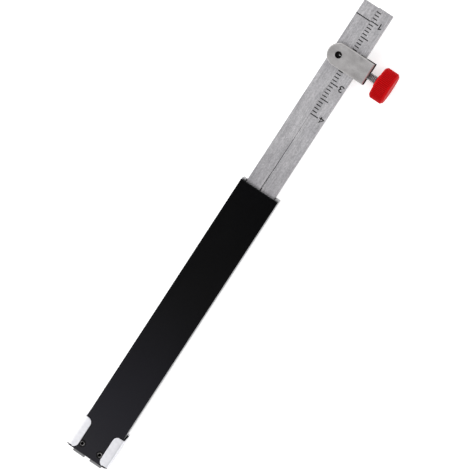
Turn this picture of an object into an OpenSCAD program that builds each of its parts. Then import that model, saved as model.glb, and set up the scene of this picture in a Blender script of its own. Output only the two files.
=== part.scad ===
// Pocket weld gauge: two steel blades that slide on each other, a clamp yoke with a
// thumb screw that locks them, and a flat sheath with a pocket clip for the legs.
// Millimetres. X runs to the thumb screw, Y to the scale end, Z out of the sheath's front.

/* [Blades] */
// Width of each blade
blade_w = 4.55; // [4:0.05:6.5]
// Thickness of each blade
blade_t = 1.5; // [1:0.1:2.5]
// Length of each blade, from its foot to its scale end
blade_l = 143.3; // [130:0.1:170]
// Gap between the blades where they slide on each other
seam_gap = 0.04; // [0.02:0.01:0.1]
// Gap between the two legs, and between their feet
leg_gap = 0.22; // [0.1:0.02:0.8]
// Length of each blade that slides on the other one, from the scale end
seam_l = 39; // [28:1:45]
// Length over which the seam opens to the gap between the legs
relief_l = 20; // [5:1:25]
// Width of each leg
leg_w = 1.3; // [1:0.1:2.5]
// Length of each leg, above its foot
leg_l = 45; // [30:1:55]
// Height of each foot
foot_h = 2.2; // [1.5:0.1:4]
// Radius where a leg runs into its blade
leg_r = 1.5; // [0.5:0.1:2]

/* [Graduations] */
// Reading at the first graduation, in millimetres
scale_first = 7; // [1:1:9]
// Reading at the last graduation, in millimetres
scale_last = 40; // [30:1:45]
// Reading at the index line when both blades lie level
scale_rest = 10; // [10:1:12]
// Distance from the scale end to the first graduation
scale_margin = 1.25; // [0.5:0.05:3]
// Height of the scale blade above the index blade, as the gauge is left
scale_lift = 0.2; // [0:0.05:0.5]
// Length of a one millimetre graduation
tick_short = 1.35; // [0.8:0.05:1.8]
// Length of a five or ten millimetre graduation
tick_long = 2.4; // [1.9:0.05:3.2]
// Width of each graduation
tick_w = 0.3; // [0.15:0.01:0.4]
// Depth of each graduation
tick_depth = 0.08; // [0.04:0.01:0.2]

/* [Clamp yoke] */
// Height of the yoke along the blades
yoke_h = 6.5; // [5.5:0.1:9]
// Thickness of each cheek of the yoke
cheek_t = 1.65; // [1.2:0.05:3]
// Thickness of the tapped wall beside the scale blade
yoke_wall = 3; // [2.2:0.1:5]
// Distance from the scale end to the middle of the yoke
yoke_at = 16.5; // [13.5:0.1:20]
// Broken edge of the yoke
yoke_edge = 0.25; // [0.1:0.05:0.5]
// Clearance between a cheek and the blades
cheek_clear = 0.08; // [0.04:0.01:0.2]
// Clearance between the tapped wall and the scale blade
wall_clear = 0.1; // [0.05:0.01:0.3]

/* [Roll pin] */
// Distance of the pin from the middle of the index blade, towards the seam
pin_shift = 0.15; // [0:0.05:0.3]
// Diameter of the roll pin's hole
pin_d = 2; // [1.5:0.1:3]
// Thickness of the rolled sheet of the pin
pin_wall = 0.75; // [0.2:0.05:0.8]
// Width of the pin's slit
pin_slit = 0.3; // [0.2:0.05:0.6]
// Depth of the pin's ends below the cheeks
pin_recess = 0.8; // [0.1:0.05:1]
// Clearance of the pin in its hole
pin_clear = 0.01; // [0.005:0.005:0.03]

/* [Thumb screw] */
// Diameter of the screw
screw_d = 2.5; // [2:0.1:3]
// Clearance of the screw in its tapped hole
screw_clear = 0.03; // [0.02:0.01:0.08]
// Length of screw between the yoke and the knob
screw_show = 2.45; // [1.5:0.05:6]
// Distance of the screw below the middle of the yoke
screw_low = 0.3; // [0:0.05:0.5]
// Length of screw inside the knob
screw_grip = 3.4; // [2:0.1:3.8]
// Diameter of the knob over its ribs
knob_d = 9.5; // [8:0.1:9.5]
// Length of the knob
knob_l = 4.75; // [4.4:0.05:8]
// Height of the hub on the knob's near face
hub_h = 0.4; // [0.2:0.05:1]
// Diameter of that hub
hub_d = 3.6; // [3.4:0.1:5.5]
// Broken edge on the knob's two faces
knob_edge = 0.55; // [0.2:0.05:0.8]
// Number of ribs round the knob
rib_n = 60; // [36:2:72]
// Depth of the grooves between the ribs
rib_depth = 0.16; // [0.08:0.02:0.3]
// Diameter of the pressure pad
pad_d = 1.9; // [1.5:0.1:1.9]
// Length of the pressure pad
pad_l = 0.8; // [0.5:0.1:1]
// Gap at either end of the pressure pad
pad_gap = 0.03; // [0.02:0.01:0.08]

/* [Sheath] */
// Length of the sheath's channel
sheath_l = 88.3; // [75:0.1:110]
// Thickness of each side wall
side_t = 1.25; // [0.8:0.05:2]
// Thickness of the back wall
back_t = 1; // [0.6:0.1:2]
// Thickness of the front plate
plate_t = 0.9; // [0.5:0.1:1.5]
// Distance from the mouth to the end of the front plate
plate_setback = 0.6; // [0.2:0.1:2]
// Clearance on either side of the blades
side_clear = 0.22; // [0.1:0.02:0.4]
// Clearance in front of and behind the blades
face_clear = 0.25; // [0.1:0.05:0.4]
// Radius of the channel's back edges
channel_r = 0.5; // [0.2:0.1:0.7]

/* [Rivets] */
// Diameter of each rivet
rivet_d = 2; // [1:0.1:2]
// Diameter of the hole through each rivet
rivet_bore = 0.9; // [0.4:0.1:0.9]
// Distance between the two rivets
rivet_span = 5.8; // [4.6:0.1:5.8]
// Distance from the closed end to the rivets
rivet_up = 2.4; // [1.8:0.1:6]
// Depth of the rivets' ends below the sheath's faces
rivet_recess = 0.1; // [0.05:0.05:0.3]
// Clearance of each rivet in its holes
rivet_clear = 0.01; // [0.005:0.005:0.03]
// Gap between the rivets and the feet that rest on them
foot_gap = 0.3; // [0.1:0.05:0.6]

/* [Pocket clip] */
// Thickness of the clip's spring sheet
clip_t = 0.5; // [0.3:0.05:0.8]
// Gap between the clip and the sheath
clip_fit = 0.05; // [0.02:0.01:0.1]
// Distance from the closed end to the lower edge of the tabs
tab_up = 0.3; // [0.2:0.1:3]
// Height of the tabs along the sheath
tab_h = 9.2; // [6:0.05:15]
// Reach of each tab over the front plate
tab_reach = 2.3; // [1.6:0.1:2.3]
// Corner radius of each tab
tab_r = 1.6; // [0.5:0.1:2]
// Rise of the clip's sides, from the tabs to its back
flank_rise = 1.6; // [0:0.1:2]
// Inner radius of the fold at the closed end
fold_r = 0.85; // [0.5:0.05:2]
// Distance from the closed end to the start of the fold
fold_past = 0.2; // [0.1:0.1:2]
// Width of the folded strip
fold_w = 9.2; // [8:0.1:11]
// Width of the slot through the fold
slot_w = 1.8; // [1.5:0.1:4]
// Length of the slot on either side of the fold
slot_run = 0.4; // [0.2:0.1:1]
// Width of the tongue at its tip
tip_w = 7; // [5:0.1:8]
// Length of the tongue's flat stretch
flat_l = 24; // [15:1:35]
// Slope of the tongue as it returns to the sheath
return_slope = 7; // [5:0.5:10]
// Radius of the bends along the tongue
tongue_bend_r = 6; // [3:0.5:8]
// Flare of the tongue's tip, against its slope
tip_flare = 24; // [15:1:35]
// Radius of the bend before the tip
tip_bend_r = 3; // [2:0.5:5]
// Length of the tip past its bend
tip_l = 1.6; // [1:0.1:3]
// Corner radius of the tip
tip_r = 1.5; // [0.5:0.1:2]
// Gap between the tongue and the sheath where it bears
bear_gap = 0.1; // [0.05:0.05:0.3]

/* [Hidden] */
$fn = 64;
// Overrun of a cutter past the face that it leaves by
over = 1;
// Largest turn between two stations along a bent sheet
bend_step = 7.5;
// Shares of a rib's pitch that its crest and its foot take
rib_crest = 0.3;
rib_foot = 0.6;

// Sheath: the mouth is at y = 0 and the blades' middle plane at z = 0
slot_half_w = blade_w + seam_gap / 2 + side_clear;
slot_half_t = blade_t / 2 + face_clear;
sheath_half_w = slot_half_w + side_t;
back_z = -slot_half_t - back_t;
front_z = slot_half_t + plate_t;
end_y = -sheath_l;
rivet_y = end_y + rivet_up;
rivet_hole_d = rivet_d + 2 * rivet_clear;

// Blades: the feet stand on the rivets
inner_x = seam_gap / 2;
outer_x = inner_x + blade_w;
leg_in_x = leg_gap / 2;
leg_out_x = leg_in_x + leg_w;
foot_y = rivet_y + rivet_d / 2 + foot_gap;
hook_y = foot_y + foot_h;
shoulder_y = hook_y + leg_l;
top_y = foot_y + blade_l;
seam_end_y = top_y - seam_l;
relief_end_y = seam_end_y - relief_l;
first_tick_y = top_y - scale_margin;

// Yoke and thumb screw
yoke_y = top_y - yoke_at;
screw_y = yoke_y - screw_low;
yoke_half_t = blade_t / 2 + cheek_clear + cheek_t;
pin_x = pin_shift - inner_x - blade_w / 2;
pin_hole_d = pin_d + 2 * pin_clear;
window_x = outer_x + wall_clear;
yoke_x = window_x + yoke_wall;
pad_x = outer_x + pad_gap;
nose_x = pad_x + pad_l + pad_gap;
knob_x = yoke_x + screw_show;
knob_end_x = knob_x + knob_l;
knob_bore_d = screw_d + 2 * pin_clear;

// Pocket clip
clip_half_w = sheath_half_w + clip_fit + clip_t;
clip_front_z = front_z + clip_fit + clip_t;
clip_mid_z = back_z - clip_fit - clip_t / 2;
tab_x = sheath_half_w - tab_reach;
tab_low_y = end_y + tab_up;
fold_y = end_y - fold_past;
fold_mid_r = fold_r + clip_t / 2;
past_fold_y = fold_y - fold_r - clip_t - over;
tongue_z = clip_mid_z - 2 * fold_mid_r;
// The sloping stretch closes the gap that the two bends at its ends leave to the sheath
bear_z = back_z - bear_gap - clip_t / 2;
bend_rise = (tongue_bend_r + tip_bend_r) * (1 - cos(return_slope));
slope_l = (bear_z - tongue_z - bend_rise) / sin(return_slope);
strip_top_y = tab_low_y + tab_h;
wrap_top_y = strip_top_y + flank_rise;
strip_path = [
    [strip_top_y - fold_y, 0],
    [fold_mid_r, 180],
    [flat_l, 0],
    [tongue_bend_r, return_slope],
    [slope_l, 0],
    [tip_bend_r, -return_slope - tip_flare],
    [tip_l, 0]
];
strip_line = concat([[[0, 0], 0]], stations(strip_path));
tip_y = strip_top_y - strip_line[len(strip_line) - 1][0][0];

// The origin is under the middle of the whole gauge, on the surface that it lies on
mid_x = (knob_end_x - clip_half_w) / 2;
mid_y = (top_y + scale_lift + fold_y - fold_r - clip_t) / 2;
low_z = min(tongue_z - clip_t / 2, -knob_d / 2);

module placed() {
    translate([-mid_x, -mid_y, -low_z]) children();
}

// A flat outline in X and Y, made solid between two heights
module slab(z_low, z_high) {
    translate([0, 0, z_low]) linear_extrude(z_high - z_low) children();
}

// An outline in X and Z, made solid from one place along Y to another
module run_y(y_low, y_high) {
    translate([0, y_high, 0]) rotate([90, 0, 0]) linear_extrude(y_high - y_low) children();
}

// An outline in Y and Z, made solid from one place along X to another
module run_x(x_low, x_high) {
    translate([x_low, 0, 0]) rotate([90, 0, 90]) linear_extrude(x_high - x_low) children();
}

module rod_x(d, x_low, x_high) {
    translate([x_low, screw_y, 0]) rotate([0, 90, 0]) cylinder(d = d, h = x_high - x_low);
}

// What a rounded corner leaves out of a square one: the corner is at the origin
module corner(r) {
    difference() {
        square(r);
        translate([r, r]) circle(r);
    }
}

module both_sides() {
    children();
    mirror([1, 0, 0]) children();
}

module rivet_places() {
    both_sides() translate([rivet_span / 2, rivet_y, 0]) children();
}

module sheath_channel() {
    color("lightgray") placed() difference() {
        run_y(end_y, 0) difference() {
            translate([-sheath_half_w, back_z]) square([2 * sheath_half_w, slot_half_t - back_z]);
            translate([-slot_half_w, -slot_half_t]) square([2 * slot_half_w, 2 * slot_half_t + over]);
            both_sides() translate([-sheath_half_w, back_z]) corner(channel_r);
        }
        rivet_places() translate([0, 0, back_z - over]) cylinder(d = rivet_hole_d, h = back_t + 2 * over);
    }
}

module front_plate() {
    color([0.08, 0.08, 0.09]) placed() slab(slot_half_t, front_z) difference() {
        translate([-sheath_half_w, end_y]) square([2 * sheath_half_w, sheath_l - plate_setback]);
        rivet_places() circle(d = rivet_hole_d);
    }
}

// Hollow rivets through the plate and the channel, which also stop the feet
module sheath_rivets() {
    color("dimgray") placed() rivet_places() slab(back_z + rivet_recess, front_z - rivet_recess) difference() {
        circle(d = rivet_d);
        circle(d = rivet_bore);
    }
}

// Stations along a bent sheet's middle, each with its heading, from a path of
// straight stretches [length, 0] and bends [radius, angle]
function stations(path, at = [0, 0], heading = 0, step = 0) =
    step == len(path) ? [] :
    let (
        size = path[step][0],
        turn = path[step][1],
        side = sign(turn),
        parts = turn == 0 ? 1 : ceil(abs(turn) / bend_step),
        centre = at + side * size * [-sin(heading), cos(heading)],
        reached = turn == 0
            ? [[at + size * [cos(heading), sin(heading)], heading]]
            : [for (part = [1 : parts])
                let (faced = heading + turn * part / parts)
                [centre + side * size * [sin(faced), -cos(faced)], faced]],
        last = reached[len(reached) - 1]
    )
    concat(reached, stations(path, last[0], last[1], step + 1));

// One side of the bent sheet, at half its thickness from the middle
function sheet_side(line, half) =
    [for (station = line) station[0] + half * [-sin(station[1]), cos(station[1])]];

function backwards(points) = [for (i = [len(points) - 1 : -1 : 0]) points[i]];

module strip_section() {
    polygon(concat(sheet_side(strip_line, clip_t / 2), backwards(sheet_side(strip_line, -clip_t / 2))));
}

// The clip's section round the sheath: back, sides and the tabs that grip the front
module wrap_section() {
    difference() {
        translate([-clip_half_w, clip_mid_z - clip_t / 2])
            square([2 * clip_half_w, clip_front_z - clip_mid_z + clip_t / 2]);
        translate([-clip_half_w + clip_t, clip_mid_z + clip_t / 2])
            square([2 * (clip_half_w - clip_t), clip_front_z - clip_mid_z - 1.5 * clip_t]);
        translate([-tab_x, 0]) square([2 * tab_x, clip_front_z + over]);
        both_sides() {
            translate([-clip_half_w, clip_mid_z - clip_t / 2]) corner(clip_t);
            translate([-clip_half_w, clip_front_z]) mirror([0, 1]) corner(clip_t);
        }
    }
}

module clip_wrap() {
    difference() {
        run_y(tab_low_y, wrap_top_y) wrap_section();
        run_x(-clip_half_w - over, clip_half_w + over) polygon([
            [strip_top_y, front_z], [wrap_top_y, back_z], [wrap_top_y + over, back_z],
            [wrap_top_y + over, clip_front_z + over], [strip_top_y, clip_front_z + over]
        ]);
        slab(front_z, clip_front_z + over) both_sides() {
            translate([tab_x, tab_low_y]) corner(tab_r);
            translate([tab_x, strip_top_y]) mirror([0, 1]) corner(tab_r);
        }
    }
}

// The strip seen from above: as wide as the fold, then narrower to a rounded tip
module strip_outline() {
    difference() {
        polygon([
            [-fold_w / 2, past_fold_y], [fold_w / 2, past_fold_y],
            [fold_w / 2, fold_y + flat_l / 2], [tip_w / 2, tip_y],
            [-tip_w / 2, tip_y], [-fold_w / 2, fold_y + flat_l / 2]
        ]);
        both_sides() translate([tip_w / 2, tip_y]) rotate(180) corner(tip_r);
    }
}

// The strip that leaves the back of the clip, folds at the closed end and returns as the tongue
module clip_strip() {
    intersection() {
        run_x(-fold_w / 2, fold_w / 2) translate([strip_top_y, clip_mid_z]) rotate(180) strip_section();
        slab(tongue_z - clip_t - over, 0) strip_outline();
    }
}

// The slot that lets the fold bend: open at the fold, with a round end in either layer of the sheet
module fold_slot() {
    slab(tongue_z - clip_t - over, 0) {
        translate([-slot_w / 2, past_fold_y]) square([slot_w, fold_y + slot_run - past_fold_y]);
        translate([0, fold_y + slot_run]) circle(d = slot_w);
    }
}

module pocket_clip() {
    color("gainsboro") placed() difference() {
        union() {
            clip_wrap();
            clip_strip();
        }
        fold_slot();
    }
}

// The blade on the right of the seam: a straight bar that narrows to a leg with an outward foot
module blade_outline() {
    polygon([
        [leg_in_x, foot_y], [outer_x, foot_y], [outer_x, hook_y], [leg_out_x, hook_y],
        [leg_out_x, shoulder_y], [outer_x, shoulder_y], [outer_x, top_y], [inner_x, top_y],
        [inner_x, seam_end_y], [leg_in_x, relief_end_y]
    ]);
    translate([leg_out_x, shoulder_y]) mirror([0, 1]) corner(leg_r);
}

// A graduation cut from the seam into the front face
module graduation(reading, length) {
    translate([0, first_tick_y - (reading - scale_first) - tick_w / 2, blade_t / 2 - tick_depth])
        cube([inner_x + length, tick_w, tick_depth + over]);
}

module scale_blade() {
    color("silver") placed() translate([0, scale_lift, 0]) difference() {
        slab(-blade_t / 2, blade_t / 2) blade_outline();
        for (reading = [scale_first : scale_last])
            graduation(reading, reading % 5 == 0 ? tick_long : tick_short);
    }
}

module index_blade() {
    color("silver") placed() difference() {
        mirror([1, 0, 0]) slab(-blade_t / 2, blade_t / 2) blade_outline();
        mirror([1, 0, 0]) graduation(scale_rest, blade_w + over);
        translate([pin_x, yoke_y, -blade_t]) cylinder(d = pin_hole_d, h = 2 * blade_t);
    }
}

// A bar's section or side with its outer edges broken
module broken_edges(x_low, x_high, half) {
    polygon([
        [x_low, -half], [x_high - yoke_edge, -half], [x_high, -half + yoke_edge],
        [x_high, half - yoke_edge], [x_high - yoke_edge, half], [x_low, half]
    ]);
}

// A clevis over both blades: round about the pin, and square where the screw goes in
module clamp_yoke() {
    color("darkgray") placed() difference() {
        union() {
            translate([pin_x, yoke_y, 0]) rotate_extrude() broken_edges(0, yoke_h / 2, yoke_half_t);
            intersection() {
                translate([0, yoke_y, 0]) run_x(pin_x, yoke_x) both_sides()
                    broken_edges(0, yoke_h / 2, yoke_half_t);
                run_y(yoke_y - yoke_h, yoke_y + yoke_h) broken_edges(pin_x, yoke_x, yoke_half_t);
            }
        }
        translate([pin_x - yoke_h, yoke_y - yoke_h, -blade_t / 2 - cheek_clear])
            cube([window_x - pin_x + yoke_h, 2 * yoke_h, blade_t + 2 * cheek_clear]);
        translate([pin_x, yoke_y, -yoke_half_t - over]) cylinder(d = pin_hole_d, h = 2 * (yoke_half_t + over));
        rod_x(screw_d + 2 * screw_clear, window_x - over, yoke_x + over);
    }
}

// A pin rolled from sheet, with its slit towards the thumb screw
module roll_pin() {
    color("gray") placed() translate([pin_x, yoke_y, 0])
        slab(-yoke_half_t + pin_recess, yoke_half_t - pin_recess) difference() {
            circle(d = pin_d);
            circle(d = pin_d - 2 * pin_wall);
            translate([0, -pin_slit / 2]) square([pin_d, pin_slit]);
        }
}

module clamp_screw() {
    color("silver") placed() rod_x(screw_d, nose_x, knob_x + screw_grip);
}

// The section of the knob along its axis: a low hub, and a rim with both edges broken
module knob_section() {
    rim = knob_d / 2;
    polygon([
        [0, 0], [hub_d / 2, 0], [hub_d / 2, hub_h], [rim - knob_edge, hub_h], [rim, hub_h + knob_edge],
        [rim, knob_l - knob_edge], [rim - knob_edge, knob_l], [0, knob_l]
    ]);
}

// The ribs seen along the axis: each pitch has a flat crest and a flat groove
module rib_outline() {
    pitch = 360 / rib_n;
    crest = knob_d / 2;
    root = crest - rib_depth;
    polygon([
        for (rib = [0 : rib_n - 1], side = [-1, 1], out = side < 0 ? [0, 1] : [1, 0])
            let (
                reach = out == 1 ? crest : root,
                share = out == 1 ? rib_crest : rib_foot,
                turn = (rib + side * share / 2) * pitch
            )
            reach * [cos(turn), sin(turn)]
    ]);
}

module clamp_knob() {
    color("red") placed() difference() {
        translate([knob_x, screw_y, 0]) rotate([0, 90, 0]) intersection() {
            rotate_extrude() knob_section();
            linear_extrude(knob_l) rib_outline();
        }
        rod_x(knob_bore_d, knob_x - over, knob_x + screw_grip + pad_gap);
    }
}

module pressure_pad() {
    color("goldenrod") placed() rod_x(pad_d, pad_x, pad_x + pad_l);
}

sheath_channel();
front_plate();
sheath_rivets();
pocket_clip();
index_blade();
scale_blade();
clamp_yoke();
roll_pin();
clamp_screw();
clamp_knob();
pressure_pad();
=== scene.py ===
# %% [markdown]
# # A pocket weld gauge
# Two steel blades slide on each other under a clamp yoke, and a red thumb screw locks them.
# Their legs live in a flat black sheath with a spring clip. The solids come from the part's
# own frame, so this file adds what solids don't carry: finishes, paint in the graduations,
# numbers, a real thread, softened edges, light and the camera.

# %% Load the frame
import math

import bmesh
import bpy
from mathutils import Matrix, Vector


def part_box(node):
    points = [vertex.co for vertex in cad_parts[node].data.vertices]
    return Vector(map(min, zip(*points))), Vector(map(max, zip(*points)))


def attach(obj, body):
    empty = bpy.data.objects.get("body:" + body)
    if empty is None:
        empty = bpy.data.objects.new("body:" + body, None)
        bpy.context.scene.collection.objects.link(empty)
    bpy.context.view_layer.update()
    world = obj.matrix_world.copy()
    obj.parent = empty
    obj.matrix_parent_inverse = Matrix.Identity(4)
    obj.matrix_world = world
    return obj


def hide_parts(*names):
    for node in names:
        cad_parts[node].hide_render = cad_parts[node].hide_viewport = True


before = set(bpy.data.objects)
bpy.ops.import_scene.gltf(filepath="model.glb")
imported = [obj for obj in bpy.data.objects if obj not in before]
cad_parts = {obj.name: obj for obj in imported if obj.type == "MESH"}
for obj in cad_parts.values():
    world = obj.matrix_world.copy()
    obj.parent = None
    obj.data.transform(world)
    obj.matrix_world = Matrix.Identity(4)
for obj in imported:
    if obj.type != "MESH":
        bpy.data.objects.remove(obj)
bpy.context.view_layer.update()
MM = 0.001

# %% [markdown]
# ## Where things are
# Every place is read from the solids' boxes, so that a changed size moves the paint and the
# thread with it. The seam is midway between the two blades, and the blades' front face is the
# highest point of either blade.

# %% Places read from the frame
scale_low, scale_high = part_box("scale_blade")
index_low, index_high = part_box("index_blade")
screw_low, screw_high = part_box("clamp_screw")
yoke_low, yoke_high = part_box("clamp_yoke")
plate_low, plate_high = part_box("front_plate")
channel_low, channel_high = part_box("sheath_channel")
SEAM_X = (scale_low.x + index_high.x) / 2
FACE_Z = scale_high.z
TOP_Y = scale_high.y
SCREW_Y = (screw_low.y + screw_high.y) / 2
SCREW_Z = (screw_low.z + screw_high.z) / 2
MOUTH_Y = channel_high.y
print("seam x, face z, scale end y, mm:", [round(v / MM, 3) for v in (SEAM_X, FACE_Z, TOP_Y)])

# %% [markdown]
# ## Finishes
# A finish here is one Principled shader whose colour, roughness and bump vary a little with
# noise. Noise can read Generated, UV or Object coordinates. Object coordinates are in metres
# on every piece, so a grain of a quarter of a millimetre has the same size everywhere, and it
# stays put when a piece moves.

# %% Helpers for a finish
def shader_of(made):
    return made.node_tree.nodes["Principled BSDF"]


def new_finish(name, metallic, roughness, specular=0.5):
    """A material with one Principled shader, whose plain numbers sit on its own sockets."""
    made = bpy.data.materials.new(name)
    made.use_nodes = True
    shader_of(made).inputs["Metallic"].default_value = metallic
    shader_of(made).inputs["Roughness"].default_value = roughness
    shader_of(made).inputs["Specular IOR Level"].default_value = specular
    return made


def set_colour(made, colour):
    made.node_tree.links.new(colour, shader_of(made).inputs["Base Color"])


def paint(piece, made):
    """Gives a piece or a CAD node one finish all over."""
    piece.data.materials.clear()
    piece.data.materials.append(made)


print("finishes before the first one:", len(bpy.data.materials))

# %% Helpers for grain and its colours
WHITE = (1, 1, 1)


def grain(made, size_mm, stretch=(1, 1, 1), detail=3.0, seed=0.0):
    """Noise whose spots are about size_mm across, longer along an axis with a stretch over 1."""
    nodes, links = made.node_tree.nodes, made.node_tree.links
    where = nodes.new("ShaderNodeTexCoord")
    fit = nodes.new("ShaderNodeMapping")
    fit.inputs["Scale"].default_value = [1 / (size_mm * MM * s) for s in stretch]
    fit.inputs["Location"].default_value = (seed, seed * 1.7, seed * 2.3)
    spots = nodes.new("ShaderNodeTexNoise")
    spots.inputs["Scale"].default_value = 1.0
    spots.inputs["Detail"].default_value = detail
    links.new(where.outputs["Object"], fit.inputs["Vector"])
    links.new(fit.outputs["Vector"], spots.inputs["Vector"])
    return spots.outputs["Fac"]


def tint(made, factor, dark, light, low=0.3, high=0.7):
    """Colour between dark and light, as the factor goes from low to high."""
    ramp = made.node_tree.nodes.new("ShaderNodeValToRGB")
    ramp.color_ramp.elements[0].position = low
    ramp.color_ramp.elements[0].color = (*dark, 1)
    ramp.color_ramp.elements[1].position = high
    ramp.color_ramp.elements[1].color = (*light, 1)
    made.node_tree.links.new(factor, ramp.inputs["Fac"])
    return ramp.outputs["Color"]


def veil(made, under, on_top):
    """One colour multiplied by another, so that white leaves it as it is."""
    mix = made.node_tree.nodes.new("ShaderNodeMix")
    mix.data_type = "RGBA"
    mix.blend_type = "MULTIPLY"
    mix.inputs[0].default_value = 1.0
    made.node_tree.links.new(under, mix.inputs[6])
    made.node_tree.links.new(on_top, mix.inputs[7])
    return mix.outputs[2]


print("a colour that a veil leaves as it is:", WHITE)

# %% Helpers for roughness and bump
def vary_roughness(made, factor, low, high):
    """Roughness between low and high, as the factor goes from 0 to 1."""
    reach = made.node_tree.nodes.new("ShaderNodeMapRange")
    reach.inputs["To Min"].default_value = low
    reach.inputs["To Max"].default_value = high
    made.node_tree.links.new(factor, reach.inputs["Value"])
    made.node_tree.links.new(reach.outputs["Result"], shader_of(made).inputs["Roughness"])


def raise_grain(made, factor, height_mm, strength):
    """Bumps of about this height, which only the light sees: the mesh stays flat."""
    bump = made.node_tree.nodes.new("ShaderNodeBump")
    bump.inputs["Strength"].default_value = strength
    bump.inputs["Distance"].default_value = height_mm * MM
    made.node_tree.links.new(factor, bump.inputs["Height"])
    made.node_tree.links.new(bump.outputs["Normal"], shader_of(made).inputs["Normal"])


print("helpers for roughness and bump are ready")

# %% [markdown]
# ### Masks
# Many pieces have one mesh and more than one look, such as a ground face beside a dark side.
# Each look could be a material of its own on chosen faces, but a mask is softer: a number from
# 0 to 1 that is worked out from the place, and that says how much of the second look is there.

# %% Helpers for sums with masks
def feed(tree, socket, value):
    """Puts a number on a socket, or links another node's output to it."""
    if isinstance(value, (int, float)):
        socket.default_value = value
    else:
        tree.links.new(value, socket)


def maths(tree, kind, first, second=0.0):
    """A Math node. Each of first and second is a number or another node's output."""
    node = tree.nodes.new("ShaderNodeMath")
    node.operation = kind
    feed(tree, node.inputs[0], first)
    feed(tree, node.inputs[1], second)
    return node.outputs[0]


def all_of(made, first, *others):
    """Masks multiplied: 1 only where each of them is 1."""
    for other in others:
        first = maths(made.node_tree, "MULTIPLY", first, other)
    return first


print("helpers for sums with masks are ready")

# %% Helpers for masks from places
X, Y, Z = 0, 1, 2


def along(made, axis):
    """The place along one of a piece's own axes, in metres."""
    split = made.node_tree.nodes.new("ShaderNodeSeparateXYZ")
    where = made.node_tree.nodes.new("ShaderNodeTexCoord")
    made.node_tree.links.new(where.outputs["Object"], split.inputs[0])
    return split.outputs[axis]


def away_from(made, axis, place):
    """How far from a place along an axis, to either side, in metres."""
    offset = maths(made.node_tree, "SUBTRACT", along(made, axis), place)
    return maths(made.node_tree, "ABSOLUTE", offset)


def ease(made, value, start, end):
    """0 before start and 1 after end, with a soft step between. start may be the larger one."""
    step = made.node_tree.nodes.new("ShaderNodeMapRange")
    step.interpolation_type = "SMOOTHSTEP"
    step.inputs["From Min"].default_value = start
    step.inputs["From Max"].default_value = end
    made.node_tree.links.new(value, step.inputs["Value"])
    return step.outputs["Result"]


print("axes of a piece:", X, Y, Z)

# %% Helpers that use a mask
SKIN = 0.03 * MM


def sides_of(made, low_z, high_z):
    """A mask that is 1 between two heights, and 0 on and outside them."""
    under_front = ease(made, along(made, Z), high_z, high_z - SKIN)
    over_back = ease(made, along(made, Z), low_z, low_z + SKIN)
    return all_of(made, under_front, over_back)


def cover(made, under, colour, mask):
    """A colour over another one where mask is 1. It is three numbers or another node's output."""
    mix = made.node_tree.nodes.new("ShaderNodeMix")
    mix.data_type = "RGBA"
    if isinstance(colour, tuple):
        mix.inputs[7].default_value = (*colour, 1)
    else:
        made.node_tree.links.new(colour, mix.inputs[7])
    made.node_tree.links.new(mask, mix.inputs[0])
    made.node_tree.links.new(under, mix.inputs[6])
    return mix.outputs[2]


def dull(made, mask):
    """Takes the shine off where mask is 1, because bare metal shines even when it is dark."""
    tree = made.node_tree
    kept = maths(tree, "SUBTRACT", 1.0, mask)
    tree.links.new(kept, shader_of(made).inputs["Metallic"])
    tree.links.new(maths(tree, "MULTIPLY", kept, 0.5), shader_of(made).inputs["Specular IOR Level"])


print("a mask turns over within, mm:", round(SKIN / MM, 3))

# %% [markdown]
# ### Blasted steel
# The blades are stainless bar, blasted with fine sand, so they scatter light evenly and carry
# a grain near the limit of what the eye sees, with faint lines from drawing along the bar.
# They are made a little darker towards the sheath's mouth. Each of these is a veil over
# the sand's colour, which is easier to tune than one noise that does it all.

# %% Steel of the blades
MOUTH_DARK_REACH = 22 * MM
blasted_steel = new_finish("blasted_steel", 1.0, 0.5)
sand = grain(blasted_steel, 0.27, (1, 1.8, 1), detail=4)
drawn = grain(blasted_steel, 0.34, (1, 16, 1), detail=2, seed=2)
cloud = grain(blasted_steel, 3.2, (0.7, 2.2, 1), detail=2, seed=3)
# Towards the sheath's mouth the steel is veiled a little darker; the print below calls it oil.
by_mouth = ease(blasted_steel, along(blasted_steel, Y), MOUTH_Y + MOUTH_DARK_REACH, MOUTH_Y)
steel_veils = (
    tint(blasted_steel, drawn, (0.78, 0.78, 0.78), WHITE),
    tint(blasted_steel, cloud, (0.82, 0.82, 0.83), WHITE),
    tint(blasted_steel, by_mouth, WHITE, (0.86, 0.855, 0.86), low=0, high=1),
)
steel_colour = tint(blasted_steel, sand, (0.49, 0.482, 0.497), (0.75, 0.737, 0.756))
for steel_veil in steel_veils:
    steel_colour = veil(blasted_steel, steel_colour, steel_veil)
vary_roughness(blasted_steel, sand, 0.48, 0.66)
raise_grain(blasted_steel, sand, 0.02, 0.35)
for name in ("index_blade", "scale_blade"):
    paint(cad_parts[name], blasted_steel)
print("blasted steel on the blades, oil from y, mm:", round((MOUTH_Y + MOUTH_DARK_REACH) / MM, 1))
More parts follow.
